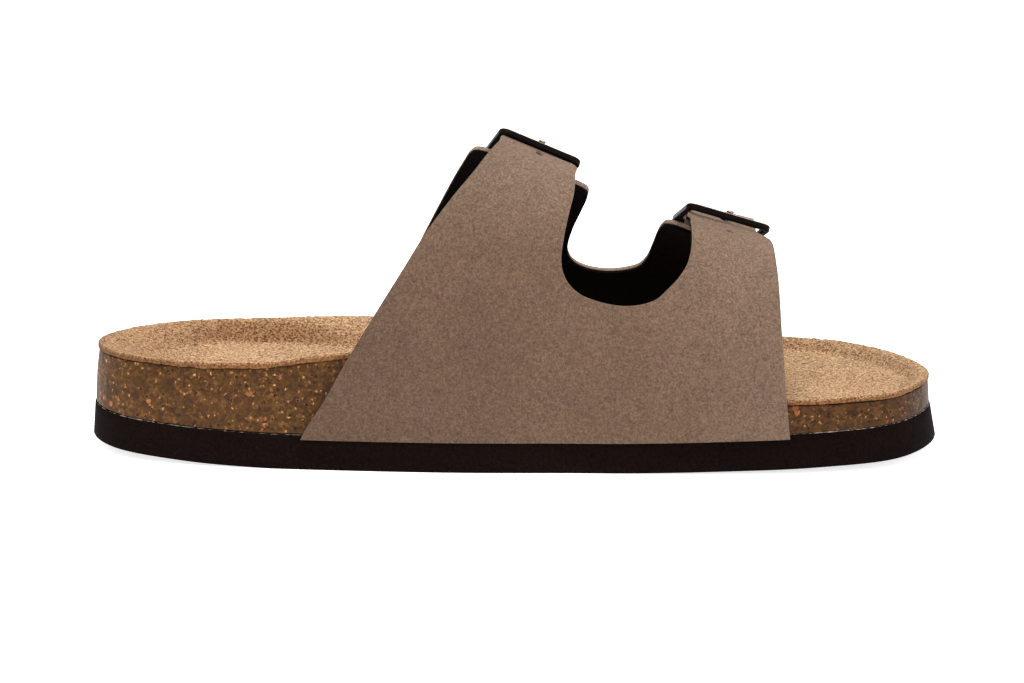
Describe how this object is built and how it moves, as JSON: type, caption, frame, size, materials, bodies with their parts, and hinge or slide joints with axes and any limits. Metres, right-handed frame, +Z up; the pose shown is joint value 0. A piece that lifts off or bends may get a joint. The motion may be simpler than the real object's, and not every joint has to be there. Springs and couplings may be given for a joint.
{
  "type": "cork footbed sandal",
  "caption": "Flat slide sandal with a moulded cork footbed, a suede insole and a broad leather upper whose straps buckle over the instep and the toes.",
  "frame": {"origin": "on the floor, under the middle of the sandal's box", "axes": "+X towards the toe, +Y towards the outer side of the left foot, +Z up"},
  "size_m": [0.27, 0.096, 0.1027],
  "materials": {
    "outsole_rubber": "matt dark brown foam rubber",
    "footbed_cork": "sealed ground cork, satin",
    "insole_suede": "tan suede with a raised nap",
    "upper_leather": "taupe nubuck with a dark lining",
    "buckle_metal": "dark bronze lacquer, glossy"
  },
  "bodies": {
    "root": {"outsole": "outsole_rubber", "footbed": "footbed_cork", "insole": "insole_suede", "upper": "upper_leather", "buckle_frame_rear": "buckle_metal", "buckle_frame_front": "buckle_metal", "buckle_prong_rear": "buckle_metal", "buckle_prong_front": "buckle_metal"}
  },
  "joints": []
}
